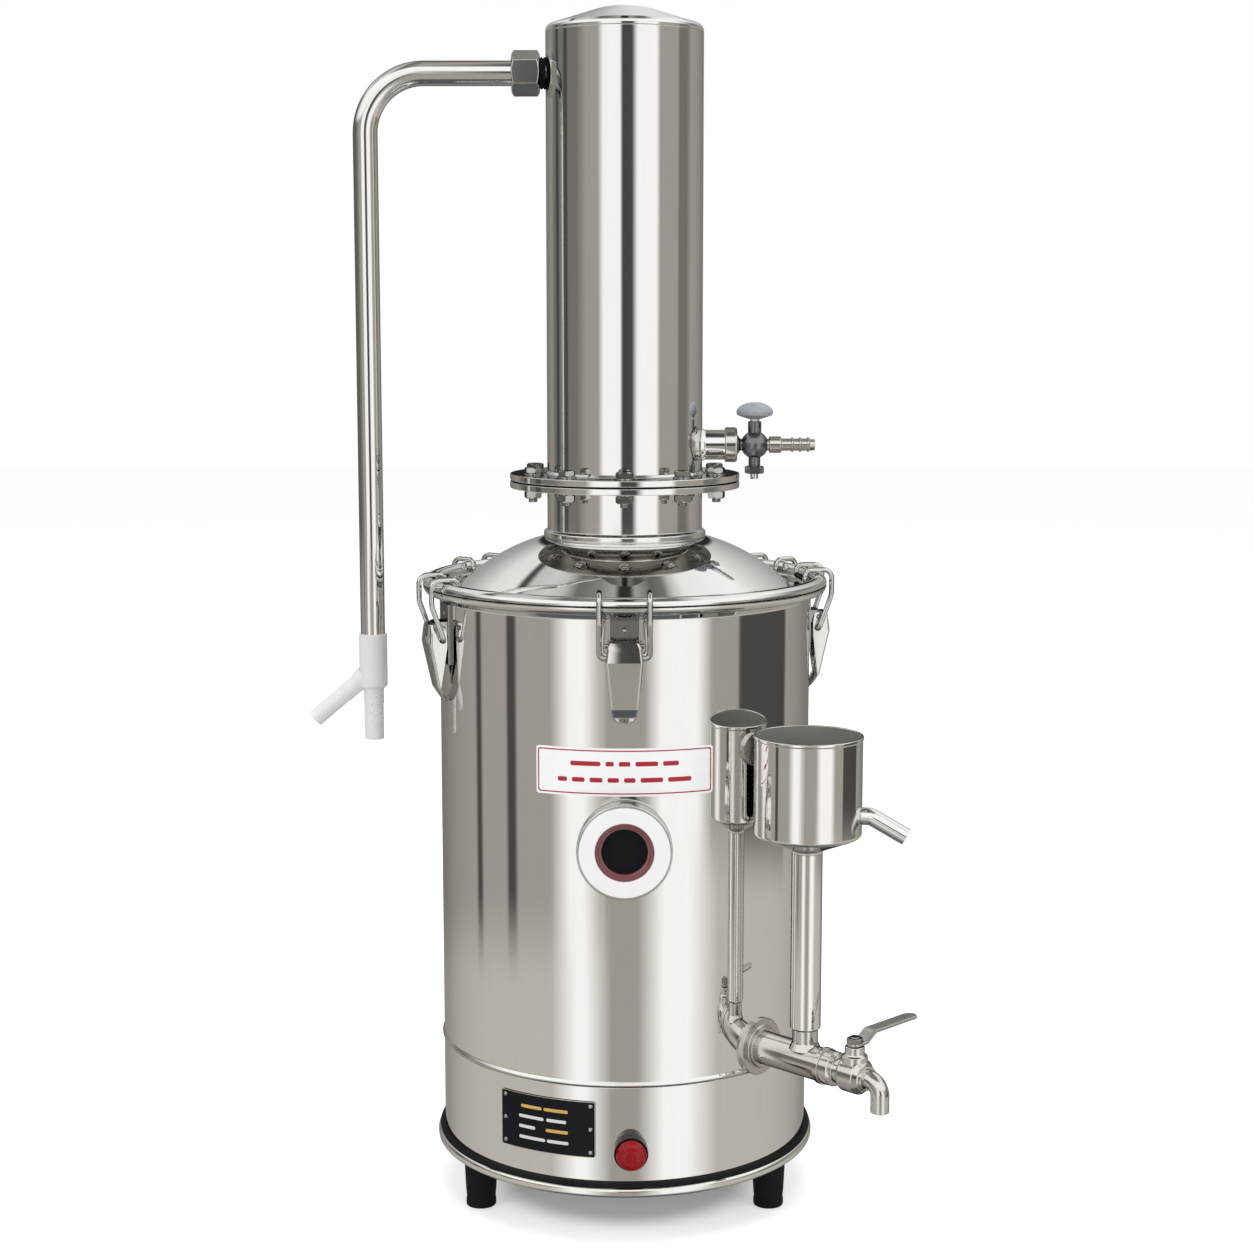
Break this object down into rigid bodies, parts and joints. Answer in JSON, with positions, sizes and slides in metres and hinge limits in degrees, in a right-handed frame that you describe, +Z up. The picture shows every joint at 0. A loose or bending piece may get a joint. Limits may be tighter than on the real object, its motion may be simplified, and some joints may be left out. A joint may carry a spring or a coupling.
{
  "type": "electric water distiller",
  "caption": "Tall polished-steel water distiller: round boiler on feet, clamped domed lid, bolted condenser tower, bent return pipe, cooling cock, feed cup and drain tap.",
  "frame": {"origin": "on the boiler's axis at the level of the bench, where the feet stand", "axes": "+Z up along the boiler and the tower, -Y to the front with the sight port, +X to the side of the cock and the tap"},
  "size_m": [0.3962, 0.301, 0.7812],
  "materials": {
    "polished_steel": "mirror-polished stainless steel",
    "satin_steel": "satin stainless steel",
    "steel_wire": "bright drawn wire",
    "zinc_steel": "plain bright fasteners",
    "dark_chrome": "dark satin nickel plating",
    "black_rubber": "matte black",
    "brown_rubber": "red-brown silicone",
    "black_gloss_plastic": "gloss black",
    "black_plastic": "matte black",
    "red_lens": "moulded prismatic red",
    "black_plate": "black anodised",
    "white_label": "white film, red border",
    "white_plastic": "satin white",
    "clear_white_plastic": "translucent natural white",
    "grey_knob": "glossy blue-grey",
    "dark_glass": "toughened glass, dark behind",
    "cream_ceramic": "glazed"
  },
  "bodies": {
    "stand": {"feet": "black_rubber", "foot_screws": "zinc_steel", "base_plate": "polished_steel", "base_trim_ring": "black_rubber", "base_skirt": "polished_steel", "name_plate": "black_plate", "plate_rivets": "zinc_steel", "indicator_bezel": "black_gloss_plastic", "indicator_lens": "red_lens", "cable_gland": "black_plastic", "boiler_shell": "polished_steel", "boiler_floor": "polished_steel", "heater_element": "satin_steel", "terminal_block": "cream_ceramic", "thermal_cutout": "black_plastic", "sight_glass_window": "dark_glass", "sight_glass_gasket": "brown_rubber", "sight_glass_ring": "white_plastic", "level_label": "white_label", "lid_gasket": "black_rubber", "lid_dome": "polished_steel", "neck_flange": "polished_steel", "flange_gasket": "black_rubber", "upper_flange": "polished_steel", "flange_bolts": "zinc_steel", "flange_nuts_and_washers": "zinc_steel", "condenser_shell": "polished_steel", "condenser_cap": "polished_steel", "steam_tube_bundle": "satin_steel", "distillate_tray": "satin_steel", "distillate_outlet": "satin_steel", "return_seal": "black_rubber", "return_nut": "satin_steel", "inlet_union_nut": "satin_steel", "cock_body": "dark_chrome", "drain_tee": "satin_steel", "drain_escutcheon": "satin_steel", "stand_pipe": "polished_steel", "feed_cup": "polished_steel", "cup_bracket": "satin_steel", "tap_body": "satin_steel", "latch_brackets": "satin_steel"},
    "return_pipe": {"return_pipe": "polished_steel"},
    "wye": {"wye": "clear_white_plastic"},
    "cock_plug": {"cock_plug": "dark_chrome", "cock_knob": "grey_knob", "cock_tail_nut": "dark_chrome"},
    "tap_stem": {"tap_stem": "satin_steel", "tap_lever": "satin_steel", "tap_nut": "satin_steel"},
    "latch_lever_front": {"latch_lever_front": "satin_steel"},
    "latch_bail_front": {"latch_bail_front": "steel_wire"},
    "latch_lever_left": {"latch_lever_left": "satin_steel"},
    "latch_bail_left": {"latch_bail_left": "steel_wire"},
    "latch_lever_rear_left": {"latch_lever_rear_left": "satin_steel"},
    "latch_bail_rear_left": {"latch_bail_rear_left": "steel_wire"},
    "latch_lever_rear_right": {"latch_lever_rear_right": "satin_steel"},
    "latch_bail_rear_right": {"latch_bail_rear_right": "steel_wire"},
    "latch_lever_right": {"latch_lever_right": "satin_steel"},
    "latch_bail_right": {"latch_bail_right": "steel_wire"}
  },
  "joints": [
    {"name": "return_pipe_swivel", "type": "hinge", "parent": "stand", "child": "return_pipe", "pos_m": [-0.0636, 0, 0.7389], "axis": [1, 0, 0], "range_deg": [-90, 90]},
    {"name": "wye_swivel", "type": "hinge", "parent": "return_pipe", "child": "wye", "pos_m": [-0.1676, 0, 0.3689], "axis": [0, 0, 1], "continuous": true},
    {"name": "cock_turn", "type": "hinge", "parent": "stand", "child": "cock_plug", "pos_m": [0.0854, 0, 0.5004], "axis": [0, 0, 1], "range_deg": [0, 90]},
    {"name": "tap_turn", "type": "hinge", "parent": "stand", "child": "tap_stem", "pos_m": [0.1423, -0.1423, 0.1193], "axis": [0, 0, 1], "range_deg": [-90, 0]},
    {"name": "latch_lever_front", "type": "hinge", "parent": "stand", "child": "latch_lever_front", "pos_m": [0, -0.1293, 0.3856], "axis": [-1, 0, 0], "range_deg": [0, 105]},
    {"name": "latch_bail_front", "type": "hinge", "parent": "latch_lever_front", "child": "latch_bail_front", "pos_m": [0, -0.1283, 0.3778], "axis": [-1, 0, 0], "range_deg": [-90, 0]},
    {"name": "latch_lever_left", "type": "hinge", "parent": "stand", "child": "latch_lever_left", "pos_m": [-0.1215, -0.04422, 0.3856], "axis": [-0.342, 0.9397, 0], "range_deg": [0, 105]},
    {"name": "latch_bail_left", "type": "hinge", "parent": "latch_lever_left", "child": "latch_bail_left", "pos_m": [-0.12056, -0.04388, 0.3778], "axis": [-0.342, 0.9397, 0], "range_deg": [-90, 0]},
    {"name": "latch_lever_rear_left", "type": "hinge", "parent": "stand", "child": "latch_lever_rear_left", "pos_m": [-0.10326, 0.07781, 0.3856], "axis": [0.6018, 0.7986, 0], "range_deg": [0, 105]},
    {"name": "latch_bail_rear_left", "type": "hinge", "parent": "latch_lever_rear_left", "child": "latch_bail_rear_left", "pos_m": [-0.10247, 0.07721, 0.3778], "axis": [0.6018, 0.7986, 0], "range_deg": [-90, 0]},
    {"name": "latch_lever_rear_right", "type": "hinge", "parent": "stand", "child": "latch_lever_rear_right", "pos_m": [0.10326, 0.07781, 0.3856], "axis": [0.6018, -0.7986, 0], "range_deg": [0, 105]},
    {"name": "latch_bail_rear_right", "type": "hinge", "parent": "latch_lever_rear_right", "child": "latch_bail_rear_right", "pos_m": [0.10247, 0.07721, 0.3778], "axis": [0.6018, -0.7986, 0], "range_deg": [-90, 0]},
    {"name": "latch_lever_right", "type": "hinge", "parent": "stand", "child": "latch_lever_right", "pos_m": [0.12834, 0.01576, 0.3856], "axis": [0.1219, -0.9925, 0], "range_deg": [0, 105]},
    {"name": "latch_bail_right", "type": "hinge", "parent": "latch_lever_right", "child": "latch_bail_right", "pos_m": [0.12734, 0.01564, 0.3778], "axis": [0.1219, -0.9925, 0], "range_deg": [-90, 0]}
  ],
  "couplings": [
    {"joint": "latch_bail_front", "follows": "latch_lever_front", "ratio": -0.8},
    {"joint": "latch_bail_left", "follows": "latch_lever_left", "ratio": -0.8},
    {"joint": "latch_bail_rear_left", "follows": "latch_lever_rear_left", "ratio": -0.8},
    {"joint": "latch_bail_rear_right", "follows": "latch_lever_rear_right", "ratio": -0.8},
    {"joint": "latch_bail_right", "follows": "latch_lever_right", "ratio": -0.8}
  ]
}
